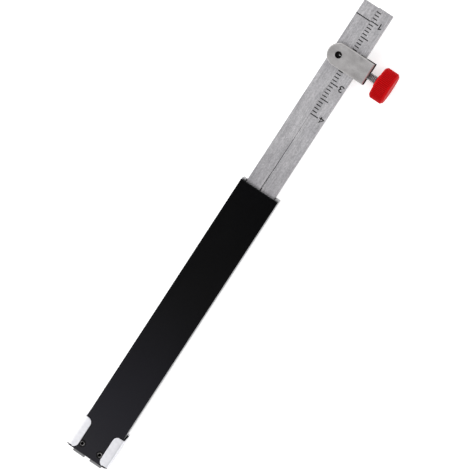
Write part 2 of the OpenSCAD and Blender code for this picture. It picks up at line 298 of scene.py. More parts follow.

# %% [markdown]
# ### Painted shade in the seam
# Where the blades slide on each other there is a narrow gap, and its shade is painted: their
# sides are dark close to the seam, and a thin dark line runs on their faces, wider close to the
# mouth. A dark strip of mesh would do for the line, but it would have to slide with one blade
# only. In the finish each blade carries its own half. A side is what lies close to the seam,
# below the front face and above the back one.

# %% Painted shade on the sides and between the blades
SEAM_SHADE_COLOUR = (0.028, 0.027, 0.027)
SEAM_REACH, SEAM_L, SEAM_FADE = 0.3 * MM, 39 * MM, 0.5 * MM
LINE_REACH, LINE_SHARE = 0.09 * MM, 0.55
WIDE_SHADE_REACH, WIDE_SHADE_SHARE = 0.22 * MM, 0.85
WIDE_SHADE_START, WIDE_SHADE_FULL = 5.5 * MM, 3.0 * MM
seam_opens_y = TOP_Y - SEAM_L
blades_end_y = min(index_high.y, scale_high.y)
from_seam = away_from(blasted_steel, X, SEAM_X)
blade_y = along(blasted_steel, Y)
# Painted shade: the blades' sides close to the seam are dark, and so is a thin line on their faces.
gap_sides_shade = all_of(
    blasted_steel,
    sides_of(blasted_steel, scale_low.z, scale_high.z),
    ease(blasted_steel, from_seam, SEAM_REACH, 0.9 * SEAM_REACH),
    ease(blasted_steel, blade_y, blades_end_y, blades_end_y - SKIN),
)
gap_line_shade = all_of(
    blasted_steel,
    ease(blasted_steel, from_seam, LINE_REACH, 0.6 * LINE_REACH),
    ease(blasted_steel, blade_y, seam_opens_y + SEAM_FADE, seam_opens_y),
    LINE_SHARE,
)
mouth_line_shade = all_of(
    blasted_steel,
    ease(blasted_steel, from_seam, WIDE_SHADE_REACH, 0.7 * WIDE_SHADE_REACH),
    ease(blasted_steel, blade_y, MOUTH_Y + WIDE_SHADE_START, MOUTH_Y + WIDE_SHADE_FULL),
    WIDE_SHADE_SHARE,
)
gap_shade = maths(blasted_steel.node_tree, "MAXIMUM", gap_line_shade, mouth_line_shade)
steel_colour = cover(blasted_steel, steel_colour, SEAM_SHADE_COLOUR, gap_shade)
set_colour(blasted_steel, cover(blasted_steel, steel_colour, SEAM_SHADE_COLOUR, gap_sides_shade))
dull(blasted_steel, gap_sides_shade)
print("seam opens at y, mm:", round(seam_opens_y / MM, 2))

# %% [markdown]
# ### Satin steel of the yoke
# The yoke is ground on its two faces, so the faces are satin and a little warmer than the
# blades. Its sides carry painted shade, full at the solid end and weaker on the cheeks over the
# blades. Its edges were broken with a file, and the narrow flats carry a painted pale, matt
# highlight, weaker at the solid end. Three materials on picked faces would do, but a changed
# size changes which faces there are. Masks by height, and by place across, still find them.

# %% Finish of the yoke
YOKE_EDGE, CHEEK_SHADE = 0.25 * MM, 0.3
EDGE_HIGHLIGHT_COLOUR, EDGE_HIGHLIGHT_DULL, BLOCK_HIGHLIGHT_LESS = (0.52, 0.505, 0.50), 0.8, 0.4
BLOCK_START, BLOCK_FULL = -0.1 * MM, 0.7 * MM
satin_steel = new_finish("satin_steel", 1.0, 0.38)
tree = satin_steel.node_tree
worn = grain(satin_steel, 1.8, (1.3, 1, 1), detail=3, seed=5)
fine = grain(satin_steel, 0.3, detail=2, seed=6)
yoke_colour = veil(
    satin_steel,
    tint(satin_steel, worn, (0.475, 0.46, 0.46), (0.62, 0.605, 0.605)),
    tint(satin_steel, fine, (0.88, 0.88, 0.88), WHITE),
)
# Painted shade on the sides, and a painted highlight on the broken edges.
yoke_x = along(satin_steel, X)
past_blades = ease(satin_steel, yoke_x, scale_high.x + BLOCK_START, scale_high.x + BLOCK_FULL)
side_shade_share = maths(tree, "ADD", maths(tree, "MULTIPLY", past_blades, 1 - CHEEK_SHADE), CHEEK_SHADE)
side_shade = all_of(
    satin_steel,
    sides_of(satin_steel, yoke_low.z + YOKE_EDGE, yoke_high.z - YOKE_EDGE),
    side_shade_share,
)
bare = maths(tree, "SUBTRACT", sides_of(satin_steel, yoke_low.z, yoke_high.z), side_shade)
edge_highlight_kept = maths(tree, "SUBTRACT", 1.0, maths(tree, "MULTIPLY", past_blades, BLOCK_HIGHLIGHT_LESS))
edge_highlight = all_of(satin_steel, bare, edge_highlight_kept)
side_shade_colour = tint(satin_steel, worn, (0.014, 0.014, 0.016), (0.045, 0.044, 0.047), low=0.4, high=0.7)
yoke_colour = cover(satin_steel, yoke_colour, EDGE_HIGHLIGHT_COLOUR, edge_highlight)
set_colour(satin_steel, cover(satin_steel, yoke_colour, side_shade_colour, side_shade))
dull(satin_steel, maths(tree, "ADD", side_shade, maths(tree, "MULTIPLY", edge_highlight, EDGE_HIGHLIGHT_DULL)))
vary_roughness(satin_steel, worn, 0.34, 0.48)
raise_grain(satin_steel, fine, 0.01, 0.15)
paint(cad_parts["clamp_yoke"], satin_steel)
# Past this x the painted shade on the sides is full.
print("satin steel on the yoke, dark skin past x, mm:", round(scale_high.x / MM, 2))

# %% [markdown]
# ### The sheath
# The front plate is black with a satin shine, and a painted sheen makes it a little greyer and
# bluer towards the clip. The channel is bright aluminium with fine lines along its length, drawn
# through the die, and painted dark inside as the shade where no light gets in. A dark inner wall
# could be a second piece, but a mask between the side walls and over the back is enough.

# %% Finish of the plate
SHEEN_START, SHEEN_FULL = 30 * MM, 8 * MM
satin_black = new_finish("satin_black", 0.0, 0.12, specular=0.28)
speck = grain(satin_black, 0.35, detail=4, seed=8)
wide = grain(satin_black, 9.0, (1, 3, 1), detail=2, seed=9)
black = tint(satin_black, speck, (0.0014, 0.0014, 0.0016), (0.0028, 0.0028, 0.0032))
# Painted sheen: the plate turns greyer and bluer towards the clip.
clip_end_sheen = ease(satin_black, along(satin_black, Y), plate_high.y - SHEEN_START, plate_low.y + SHEEN_FULL)
set_colour(satin_black, cover(satin_black, black, (0.0058, 0.0054, 0.0096), clip_end_sheen))
vary_roughness(satin_black, wide, 0.11, 0.14)
raise_grain(satin_black, speck, 0.002, 0.1)
paint(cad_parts["front_plate"], satin_black)
# The greying below this y is painted sheen.
print("black on the plate, rubbed below y, mm:", round((plate_high.y - SHEEN_START) / MM, 1))

# %% Finish of the channel
SIDE_T, BACK_T = 1.25 * MM, 1.0 * MM
UNLIT_DARK = (0.012, 0.012, 0.013)
slot_half = channel_high.x - SEAM_X - SIDE_T
floor_z = channel_low.z + BACK_T
drawn_aluminium = new_finish("drawn_aluminium", 1.0, 0.35)
lines = grain(drawn_aluminium, 0.12, (1, 60, 1), detail=3, seed=11)
aluminium = tint(drawn_aluminium, lines, (0.44, 0.44, 0.45), (0.60, 0.60, 0.61))
from_middle = away_from(drawn_aluminium, X, SEAM_X)
# Painted shade inside the slot.
inside = all_of(
    drawn_aluminium,
    ease(drawn_aluminium, from_middle, slot_half + 2 * SKIN, slot_half + SKIN),
    ease(drawn_aluminium, along(drawn_aluminium, Z), floor_z - 2 * SKIN, floor_z - SKIN),
)
set_colour(drawn_aluminium, cover(drawn_aluminium, aluminium, UNLIT_DARK, inside))
dull(drawn_aluminium, inside)
shader_of(drawn_aluminium).inputs["Specular Tint"].default_value = (0.6, 0.6, 0.6, 1)
vary_roughness(drawn_aluminium, lines, 0.28, 0.44)
raise_grain(drawn_aluminium, lines, 0.006, 0.25)
paint(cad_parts["sheath_channel"], drawn_aluminium)
print("aluminium on the channel, its slot is wide, mm:", round(2 * slot_half / MM, 2))

# %% [markdown]
# ### The clip
# The clip is sheared from spring sheet, bent and plated with nickel, almost white in a light
# tent. One bend carries a painted highlight, and round the fold there is painted shade in grey.
# Painted shade also darkens the sloping upper edge on the thumb screw's side and the tabs' lower
# corners. A strip of mesh there would be too thin to cast a shadow, so colour is enough. The
# sloping upper edge of the sides is a plane, so the mask there is the height above that plane:
# y, plus a share of z.

# %% Nickel of the clip
HIGHLIGHT_START, HIGHLIGHT_FULL = 0.9 * MM, 0.1 * MM
FOLD_SHADE_GREY, FOLD_SHADE_REACH = (0.2, 0.2, 0.205), 1.0 * MM
bright_nickel = new_finish("bright_nickel", 1.0, 0.3)
rubbed = grain(bright_nickel, 1.2, detail=4, seed=13)
hairs = grain(bright_nickel, 0.1, (30, 1, 30), detail=2, seed=14)
nickel = tint(bright_nickel, rubbed, (0.70, 0.70, 0.735), (0.80, 0.80, 0.835))
clip_x, clip_y, clip_z = (along(bright_nickel, axis) for axis in (X, Y, Z))
# Painted highlight on one bend.
bend_highlight = ease(bright_nickel, clip_x, channel_low.x + HIGHLIGHT_START, channel_low.x + HIGHLIGHT_FULL)
nickel = cover(bright_nickel, nickel, (0.92, 0.92, 0.93), bend_highlight)
# Painted shade round the fold.
fold_shade = ease(bright_nickel, clip_y, channel_low.y, channel_low.y - FOLD_SHADE_REACH)
vary_roughness(bright_nickel, rubbed, 0.26, 0.4)
raise_grain(bright_nickel, hairs, 0.004, 0.2)
paint(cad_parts["pocket_clip"], bright_nickel)
print("nickel on the clip, grey below y, mm:", round(channel_low.y / MM, 2))

# %% Painted shade on the clip's edges
TAB_H, TAB_UP, FLANK_RISE = 9.2 * MM, 0.3 * MM, 1.6 * MM
BACK_START, BACK_FULL = 0.6 * MM, 0.8 * MM
LOW_SHADE_H, CORNER_START, CORNER_FULL = 0.25 * MM, 1.1 * MM, 0.9 * MM
DOWN_SIDE_START, DOWN_SIDE_FULL = 1.8 * MM, 0.2 * MM
tree = bright_nickel.node_tree
tab_low = channel_low.y + TAB_UP
tab_top = tab_low + TAB_H
slope = FLANK_RISE / (plate_high.z - channel_low.z)
edge = tab_top + plate_high.z * slope
sheath_half = channel_high.x - SEAM_X
height = maths(tree, "MINIMUM", clip_z, plate_high.z)
past_slope = maths(tree, "ADD", clip_y, maths(tree, "MULTIPLY", height, slope))
from_middle = away_from(bright_nickel, X, SEAM_X)
# Painted shade on the sloping upper edge and at the tabs' lower corners.
edge_shade = all_of(
    bright_nickel,
    ease(bright_nickel, past_slope, edge - 2 * SKIN, edge - SKIN),
    ease(bright_nickel, clip_z, channel_low.z + BACK_START, channel_low.z + BACK_FULL),
    ease(bright_nickel, clip_x, SEAM_X, SEAM_X + MM),
)
corner_shade = all_of(
    bright_nickel,
    ease(bright_nickel, clip_y, tab_low + LOW_SHADE_H, tab_low + LOW_SHADE_H - SKIN),
    ease(bright_nickel, from_middle, sheath_half - CORNER_START, sheath_half - CORNER_FULL),
    ease(bright_nickel, clip_z, plate_high.z - DOWN_SIDE_START, plate_high.z - DOWN_SIDE_FULL),
)
clip_shade = maths(tree, "MAXIMUM", edge_shade, corner_shade)
nickel = cover(bright_nickel, nickel, UNLIT_DARK, clip_shade)
set_colour(bright_nickel, cover(bright_nickel, nickel, FOLD_SHADE_GREY, fold_shade))
dull(bright_nickel, clip_shade)
print("tabs of the clip end at y, mm:", round(tab_low / MM, 2), round(tab_top / MM, 2))

# %% [markdown]
# ### Small metal
# Rivets and pin are painted near black and dull, as the shade in their holes, and the rivets
# have rubbed lips. The screw is bright zinc, with painted shade down in its thread, and the pad
# is brass. Dark grooves could be left to the light, but a thread this fine is smoothed over in a
# picture, so painted shade helps.

# %% Rivets, pin and pad
rubbed_steel = new_finish("rubbed_steel", 1.0, 0.2)
scuff = grain(rubbed_steel, 0.5, detail=3, seed=17)
lip_colour = tint(rubbed_steel, scuff, (0.03, 0.03, 0.03), (0.36, 0.35, 0.35), low=0.4, high=0.62)
set_colour(rubbed_steel, lip_colour)
vary_roughness(rubbed_steel, scuff, 0.12, 0.3)

# Painted shade: rivets and pin are near black and dull.
hole_shade_black = new_finish("hole_shade_black", 0.0, 0.7, specular=0.05)
black_speck = grain(hole_shade_black, 0.3, detail=3, seed=18)
set_colour(hole_shade_black, tint(hole_shade_black, black_speck, (0.004, 0.004, 0.004), (0.016, 0.015, 0.015)))
vary_roughness(hole_shade_black, black_speck, 0.6, 0.8)
for name in ("sheath_rivets", "roll_pin"):
    paint(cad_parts[name], hole_shade_black)

turned_brass = new_finish("turned_brass", 1.0, 0.3)
rings = grain(turned_brass, 0.2, (6, 1, 1), detail=2, seed=21)
set_colour(turned_brass, tint(turned_brass, rings, (0.60, 0.42, 0.16), (0.76, 0.56, 0.24)))
vary_roughness(turned_brass, rings, 0.25, 0.4)
paint(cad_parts["pressure_pad"], turned_brass)
print("finishes so far:", len(bpy.data.materials))

# %% Zinc of the screw
THREAD_DEPTH = 0.29 * MM
GROOVE_START, GROOVE_FULL = 0.45 * THREAD_DEPTH, 0.95 * THREAD_DEPTH


def from_screw_axis(made):
    """The distance from the line that the screw and the knob turn about, in metres."""
    tree = made.node_tree
    across = maths(tree, "SUBTRACT", along(made, Y), SCREW_Y)
    upward = maths(tree, "SUBTRACT", along(made, Z), SCREW_Z)
    across_squared = maths(tree, "MULTIPLY", across, across)
    upward_squared = maths(tree, "MULTIPLY", upward, upward)
    return maths(tree, "SQRT", maths(tree, "ADD", across_squared, upward_squared))


crest_r = (screw_high.z - screw_low.z) / 2
bright_zinc = new_finish("bright_zinc", 1.0, 0.22)
plating = grain(bright_zinc, 0.5, detail=3, seed=19)
zinc = tint(bright_zinc, plating, (0.42, 0.44, 0.45), (0.66, 0.68, 0.68))
screw_r = from_screw_axis(bright_zinc)
# Painted shade down in the thread.
groove_shade = ease(bright_zinc, screw_r, crest_r - GROOVE_START, crest_r - GROOVE_FULL)
set_colour(bright_zinc, cover(bright_zinc, zinc, (0.26, 0.26, 0.265), groove_shade))
vary_roughness(bright_zinc, plating, 0.12, 0.24)
print("zinc for the screw, crest radius, mm:", round(crest_r / MM, 3))

# %% [markdown]
# ### The knob
# The knob is red plastic, moulded round the stud in a blasted mould, so it has hardly any shine.
# Its ribs are in the solid, and the grooves between them carry painted shade. Pointiness,
# which Blender reads from a mesh, could find the grooves, but it depends on how the mesh is cut
# into faces. The distance from the axis doesn't, so the mask uses that, short of the knob's ends.

# %% Finish of the knob
RIB_DEPTH, KNOB_EDGE = 0.16 * MM, 0.55 * MM
knob_low, knob_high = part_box("clamp_knob")
knob_r = (knob_high.z - knob_low.z) / 2
red_plastic = new_finish("red_plastic", 0.0, 0.5, specular=0.08)
flow = grain(red_plastic, 0.24, detail=4, seed=23)
red = tint(red_plastic, flow, (0.57, 0.0017, 0.0036), (0.73, 0.0029, 0.0058))
rim = from_screw_axis(red_plastic)
knob_x = along(red_plastic, X)
# Painted shade in the grooves between the ribs.
rib_groove_shade = all_of(
    red_plastic,
    ease(red_plastic, rim, knob_r - 0.2 * RIB_DEPTH, knob_r - 0.9 * RIB_DEPTH),
    ease(red_plastic, rim, knob_r - 2.0 * RIB_DEPTH, knob_r - 1.5 * RIB_DEPTH),
    ease(red_plastic, knob_x, knob_high.x - KNOB_EDGE, knob_high.x - 1.3 * KNOB_EDGE),
    ease(red_plastic, knob_x, knob_low.x + KNOB_EDGE, knob_low.x + 1.3 * KNOB_EDGE),
)
set_colour(red_plastic, cover(red_plastic, red, (0.41, 0.0012, 0.0025), rib_groove_shade))
vary_roughness(red_plastic, flow, 0.45, 0.6)
raise_grain(red_plastic, flow, 0.008, 0.3)
paint(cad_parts["clamp_knob"], red_plastic)
print("red on the knob, radius, mm:", round(knob_r / MM, 2))

# %% [markdown]
# ## Paint in the graduations
# The solid has its graduations cut into the face. On the real scale they are filled with black
# paint. Thirty-four bars could be placed in a loop, but a Geometry Nodes tree says the rule
# itself: points along a line, a bar on each, and a longer bar on every fifth reading. The same
# tree with a count of one fills the index line.

# %% Paint for graduations and numbers
black_fill = new_finish("black_fill", 0.0, 0.55, specular=0.2)
crumb = grain(black_fill, 0.15, detail=3, seed=25)
set_colour(black_fill, tint(black_fill, crumb, (0.002, 0.002, 0.002), (0.008, 0.008, 0.008)))
vary_roughness(black_fill, crumb, 0.45, 0.65)
print("finishes so far:", len(bpy.data.materials))

# %% Helpers that start, end and run a tree
FLOAT, WHOLE = "NodeSocketFloat", "NodeSocketInt"
PLACE, STUFF = "NodeSocketVector", "NodeSocketMaterial"


def new_tree(name, sizes):
    """An empty tree with named inputs. sizes holds (name, socket type) pairs."""
    tree = bpy.data.node_groups.new(name, "GeometryNodeTree")
    for label, kind in sizes:
        tree.interface.new_socket(label, in_out="INPUT", socket_type=kind)
    tree.interface.new_socket("Geometry", in_out="OUTPUT", socket_type="NodeSocketGeometry")
    return tree


def end_tree(tree, shape, finish):
    """Makes instances real and gives them their finish, as the end of a tree."""
    real = tree.nodes.new("GeometryNodeRealizeInstances")
    tree.links.new(shape, real.inputs["Geometry"])
    coat = tree.nodes.new("GeometryNodeSetMaterial")
    tree.links.new(real.outputs["Geometry"], coat.inputs["Geometry"])
    tree.links.new(finish, coat.inputs["Material"])
    tree.links.new(coat.outputs["Geometry"], tree.nodes.new("NodeGroupOutput").inputs["Geometry"])
    print(tree.name, "tree:", len(tree.nodes), "nodes")


def grow(tree, values, name):
    """Runs a tree on an empty mesh with these values, and returns the result as a plain mesh."""
    host = bpy.data.objects.new(name, bpy.data.meshes.new(name + "_host"))
    bpy.context.scene.collection.objects.link(host)
    modifier = host.modifiers.new("grow", "NODES")
    modifier.node_group = tree
    for item in tree.interface.items_tree:
        if item.in_out == "INPUT":
            modifier[item.identifier] = values[item.name]
    grown = host.evaluated_get(bpy.context.evaluated_depsgraph_get())
    mesh = bpy.data.meshes.new_from_object(grown)
    host.modifiers.remove(modifier)
    host.data = mesh
    mesh.name = name
    return host


print("node trees before the first one:", len(bpy.data.node_groups))

# %% Tree: bars along a scale
LONG_EVERY = 5.0


def vector(tree, *parts):
    """A vector from three numbers or outputs."""
    node = tree.nodes.new("ShaderNodeCombineXYZ")
    for socket, value in zip(node.inputs, parts):
        feed(tree, socket, value)
    return node.outputs[0]


scale_tree = new_tree("scale_bars", [
    ("Start X", FLOAT), ("First Y", FLOAT), ("Top Z", FLOAT), ("Pitch", FLOAT),
    ("Count", WHOLE), ("First Reading", WHOLE), ("Short", FLOAT), ("Long", FLOAT),
    ("Width", FLOAT), ("Depth", FLOAT), ("Finish", STUFF),
])
nodes, links = scale_tree.nodes, scale_tree.links
given = nodes.new("NodeGroupInput").outputs
start = vector(scale_tree, given["Start X"], given["First Y"], given["Top Z"])
step = vector(scale_tree, 0.0, maths(scale_tree, "MULTIPLY", given["Pitch"], -1.0), 0.0)
line = nodes.new("GeometryNodeMeshLine")
links.new(given["Count"], line.inputs["Count"])
links.new(start, line.inputs["Start Location"])
links.new(step, line.inputs["Offset"])
bar = nodes.new("GeometryNodeMeshCube")
bar.inputs["Size"].default_value = (1, 1, 1)
hang = nodes.new("GeometryNodeTransform")
hang.inputs["Translation"].default_value = (0.5, 0, -0.5)
links.new(bar.outputs["Mesh"], hang.inputs["Geometry"])
index = nodes.new("GeometryNodeInputIndex").outputs[0]
reading = maths(scale_tree, "ADD", index, given["First Reading"])
is_long = maths(scale_tree, "LESS_THAN", maths(scale_tree, "MODULO", reading, LONG_EVERY), 0.5)
longer_by = maths(scale_tree, "SUBTRACT", given["Long"], given["Short"])
length = maths(scale_tree, "ADD", given["Short"], maths(scale_tree, "MULTIPLY", is_long, longer_by))
place = nodes.new("GeometryNodeInstanceOnPoints")
links.new(line.outputs["Mesh"], place.inputs["Points"])
links.new(hang.outputs["Geometry"], place.inputs["Instance"])
links.new(vector(scale_tree, length, given["Width"], given["Depth"]), place.inputs["Scale"])
end_tree(scale_tree, place.outputs["Instances"], given["Finish"])

# %% Fill the graduations and the index line
FIRST_READING, LAST_READING, INDEX_READING = 7, 40, 10
TICK_MARGIN = 1.25 * MM
TICK_SHORT, TICK_LONG = 1.35 * MM, 2.4 * MM
TICK_W, TICK_DEPTH = 0.3 * MM, 0.08 * MM
FILL_INSET = 0.005 * MM
BLADE_W = index_high.x - index_low.x


def tick_y(reading, end_y=TOP_Y):
    """Where a reading stands along a blade that ends at end_y."""
    return end_y - TICK_MARGIN - (reading - FIRST_READING) * MM


fill = {
    "Start X": scale_low.x, "First Y": tick_y(FIRST_READING), "Top Z": FACE_Z - FILL_INSET,
    "Pitch": MM, "Count": LAST_READING - FIRST_READING + 1, "First Reading": FIRST_READING,
    "Short": TICK_SHORT - FILL_INSET, "Long": TICK_LONG - FILL_INSET,
    "Width": TICK_W - 2 * FILL_INSET, "Depth": TICK_DEPTH - 2 * FILL_INSET, "Finish": black_fill,
}
scale_fill = grow(scale_tree, fill, "scale_fill")
fill.update({
    "Start X": index_low.x, "First Y": tick_y(INDEX_READING, index_high.y), "Count": 1,
    "Short": BLADE_W, "Long": BLADE_W,
})
index_fill = grow(scale_tree, fill, "index_fill")
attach(scale_fill, "scale_arm")
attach(index_fill, "index_arm")
print("bars filled:", len(scale_fill.data.polygons) // 6, "and", len(index_fill.data.polygons) // 6)

# %% [markdown]
# ## Numbers
# The scale reads in tens of millimetres, so its numbers are 1 to 4. They stand beside their
# graduations and face the scale end, upside down for a reader who holds the gauge by its
# sheath. Engraved numerals have one stroke width and a flag on the 1, unlike a printed font's,
# so each is drawn as the path of the cutter, in a box of height 1, and then given its width.

# %% Paths of the cutter
def arc(centre, across, upward, start, end, steps=12):
    """Points along part of an ellipse, from one angle in degrees to another."""
    angles = [math.radians(start + (end - start) * i / steps) for i in range(steps + 1)]
    offsets = [Vector((across * math.cos(a), upward * math.sin(a))) for a in angles]
    return [Vector(centre) + offset for offset in offsets]


def corners(*points):
    return [Vector(point) for point in points]


NUMERALS = {
    1: [corners((-0.04, 0.2), (0.26, 0.42), (0.26, -0.42))],
    2: [arc((0, 0.18), 0.29, 0.24, 160, -25) + corners((-0.3, -0.42), (0.32, -0.42))],
    3: [arc((-0.02, 0.21), 0.25, 0.21, 150, -90), arc((-0.02, -0.21), 0.31, 0.21, 90, -150)],
    4: [corners((0.12, -0.42), (0.12, 0.42), (-0.34, -0.16), (0.38, -0.16))],
}
print("strokes of each numeral:", {tens: len(paths) for tens, paths in NUMERALS.items()})

# %% A strip along a path
MITRE_LIMIT = 0.6


def left_of(heading):
    return Vector((-heading.y, heading.x))


def cut_path(shape, points, half):
    """A flat strip of constant width along a path, as faces of a bmesh."""
    rails = []
    for i, point in enumerate(points):
        before = (point - points[i - 1]).normalized() if i else None
        after = (points[i + 1] - point).normalized() if i + 1 < len(points) else None
        side = left_of(((before or after) + (after or before)).normalized())
        lean = max(side.dot(left_of(after or before)), MITRE_LIMIT)
        out = side * half / lean
        rails.append([shape.verts.new((*place, 0)) for place in (point - out, point + out)])
    for (right, left), (next_right, next_left) in zip(rails, rails[1:]):
        shape.faces.new((right, next_right, next_left, left))


print("corners of a strip reach out at most, half widths:", round(1 / MITRE_LIMIT, 2))

# %% Numbers beside the graduations
NUMBER_H, STROKE = 1.95 * MM, 0.175
NUMBER_T = 0.01 * MM
NUMBER_X = SEAM_X + 3.5 * MM
numbers = bmesh.new()
for tens, paths in NUMERALS.items():
    fresh = bmesh.new()
    for points in paths:
        cut_path(fresh, points, STROKE / 2)
    solid = bmesh.ops.extrude_face_region(fresh, geom=fresh.faces[:])
    raised = [v for v in solid["geom"] if isinstance(v, bmesh.types.BMVert)]
    bmesh.ops.translate(fresh, verts=raised, vec=(0, 0, 1))
    bmesh.ops.recalc_face_normals(fresh, faces=fresh.faces)
    mesh = bpy.data.meshes.new("numeral")
    fresh.to_mesh(mesh)
    fresh.free()
    mesh.transform(Matrix.Diagonal((NUMBER_H, NUMBER_H, NUMBER_T, 1)))
    mesh.transform(Matrix.Rotation(math.pi, 4, "Z"))
    mesh.transform(Matrix.Translation((NUMBER_X, tick_y(10 * tens), FACE_Z - NUMBER_T / 2)))
    numbers.from_mesh(mesh)
number_mesh = bpy.data.meshes.new("scale_numbers")
numbers.to_mesh(number_mesh)
numbers.free()
scale_numbers = bpy.data.objects.new("scale_numbers", number_mesh)
bpy.context.scene.collection.objects.link(scale_numbers)
paint(scale_numbers, black_fill)
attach(scale_numbers, "scale_arm")
print("number faces:", len(number_mesh.polygons))

# %% [markdown]
# ## The screw's thread
# The solid's screw is a plain rod, and the real one is a small machine screw. A thread follows
# a rule: walk once round and the crest moves along by one pitch. So the tree starts from a
# cylinder with many rings and moves each point in or out by where it is on that walk. A spiral
# curve with a swept tooth would also do, but it leaves seams between tooth and core.

# %% Tree: a threaded rod along X
FLANK_RISE_RATE = 2.4
thread_tree = new_tree("thread", [
    ("Diameter", FLOAT), ("Length", FLOAT), ("Pitch", FLOAT), ("Depth", FLOAT),
    ("Centre", PLACE), ("Sides", WHOLE), ("Rings", WHOLE), ("Finish", STUFF),
])
nodes, links = thread_tree.nodes, thread_tree.links
given = nodes.new("NodeGroupInput").outputs
rod = nodes.new("GeometryNodeMeshCylinder")
links.new(given["Sides"], rod.inputs["Vertices"])
links.new(given["Rings"], rod.inputs["Side Segments"])
links.new(maths(thread_tree, "DIVIDE", given["Diameter"], 2.0), rod.inputs["Radius"])
links.new(given["Length"], rod.inputs["Depth"])
split = nodes.new("ShaderNodeSeparateXYZ")
links.new(nodes.new("GeometryNodeInputPosition").outputs[0], split.inputs[0])
px, py, pz = split.outputs
turned = maths(thread_tree, "DIVIDE", maths(thread_tree, "ARCTAN2", py, px), 2 * math.pi)
walk = maths(thread_tree, "SUBTRACT", maths(thread_tree, "DIVIDE", pz, given["Pitch"]), turned)
tooth = maths(thread_tree, "PINGPONG", walk, 0.5)
flank = maths(thread_tree, "MULTIPLY", tooth, FLANK_RISE_RATE)
groove = maths(thread_tree, "MINIMUM", flank, 1.0)
deepest = maths(thread_tree, "DIVIDE", given["Depth"], given["Diameter"])
cut = maths(thread_tree, "MULTIPLY", groove, deepest)
shrink = maths(thread_tree, "SUBTRACT", 1.0, maths(thread_tree, "MULTIPLY", cut, 2.0))
near_x = maths(thread_tree, "MULTIPLY", px, shrink)
near_y = maths(thread_tree, "MULTIPLY", py, shrink)
move = nodes.new("GeometryNodeSetPosition")
links.new(rod.outputs["Mesh"], move.inputs["Geometry"])
links.new(vector(thread_tree, near_x, near_y, pz), move.inputs["Position"])
lay = nodes.new("GeometryNodeTransform")
lay.inputs["Rotation"].default_value = (0, math.pi / 2, 0)
links.new(move.outputs["Geometry"], lay.inputs["Geometry"])
links.new(given["Centre"], lay.inputs["Translation"])
end_tree(thread_tree, lay.outputs["Geometry"], given["Finish"])

# %% The threaded stud, in the place of the plain rod
THREAD_PITCH = 0.45 * MM
THREAD_SIDES, RINGS_PER_PITCH = 48, 10
screw_length = screw_high.x - screw_low.x
threaded_stud = grow(thread_tree, {
    "Diameter": screw_high.z - screw_low.z, "Length": screw_length,
    "Pitch": THREAD_PITCH, "Depth": THREAD_DEPTH,
    "Centre": ((screw_low.x + screw_high.x) / 2, SCREW_Y, SCREW_Z),
    "Sides": THREAD_SIDES, "Rings": round(screw_length / THREAD_PITCH * RINGS_PER_PITCH),
    "Finish": bright_zinc,
}, "threaded_stud")
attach(threaded_stud, "thumb_screw")
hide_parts("clamp_screw")
print("thread faces:", len(threaded_stud.data.polygons))

# %% [markdown]
# ## Rolled lips of the rivets
# A hollow rivet is set by rolling its end outwards, so its end is a round lip and not a flat
# ring. A torus on each rivet would do, but then there are two to keep alike. Here a circle is
# swept round a circle once, and the tree puts that one lip on two points.

# %% Tree: rings on two points
LIP_STEPS, LIP_SECTION_STEPS = 48, 24
lip_tree = new_tree("lips", [
    ("Radius", FLOAT), ("Thickness", FLOAT), ("First", PLACE), ("Step", PLACE), ("Finish", STUFF),
])
nodes, links = lip_tree.nodes, lip_tree.links
given = nodes.new("NodeGroupInput").outputs
path = nodes.new("GeometryNodeCurvePrimitiveCircle")
path.inputs["Resolution"].default_value = LIP_STEPS
links.new(given["Radius"], path.inputs["Radius"])
section = nodes.new("GeometryNodeCurvePrimitiveCircle")
section.inputs["Resolution"].default_value = LIP_SECTION_STEPS
links.new(maths(lip_tree, "DIVIDE", given["Thickness"], 2.0), section.inputs["Radius"])
sweep = nodes.new("GeometryNodeCurveToMesh")
links.new(path.outputs["Curve"], sweep.inputs["Curve"])
links.new(section.outputs["Curve"], sweep.inputs["Profile Curve"])
pair = nodes.new("GeometryNodeMeshLine")
pair.inputs["Count"].default_value = 2
links.new(given["First"], pair.inputs["Start Location"])
links.new(given["Step"], pair.inputs["Offset"])
place = nodes.new("GeometryNodeInstanceOnPoints")
links.new(pair.outputs["Mesh"], place.inputs["Points"])
links.new(sweep.outputs["Mesh"], place.inputs["Instance"])
end_tree(lip_tree, place.outputs["Instances"], given["Finish"])

# %% Lips on the front ends of the rivets
RIVET_D, RIVET_BORE = 2.0 * MM, 0.9 * MM
LIP_T, LIP_UNDER = 0.24 * MM, 0.01 * MM
rivet_low, rivet_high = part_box("sheath_rivets")
rivet_y = (rivet_low.y + rivet_high.y) / 2
lip_z = plate_high.z - LIP_UNDER - LIP_T / 2
rivet_lips = grow(lip_tree, {
    "Radius": (RIVET_BORE + LIP_T) / 2, "Thickness": LIP_T,
    "First": (rivet_low.x + RIVET_D / 2, rivet_y, lip_z),
    "Step": (rivet_high.x - rivet_low.x - RIVET_D, 0, 0), "Finish": rubbed_steel,
}, "rivet_lips")
for polygon in rivet_lips.data.polygons:
    polygon.use_smooth = True
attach(rivet_lips, "sheath")
print("lip faces:", len(rivet_lips.data.polygons))

# %% [markdown]
# ## Broken edges
# No real edge is a line: the plate, the channel and the clip have edges broken by a file or a
# tumbler, and a narrow flat there catches light. A Bevel modifier needs joined faces, and the
# solids arrive as loose triangles. So a copy is merged, its flat faces are made whole, its
# sharp edges are cut, and the copy stands in for the solid.

# %% Copies with broken edges
SAME_POINT = 1e-7
FLAT, SHARP, CREASE = (math.radians(angle) for angle in (0.5, 35, 20))


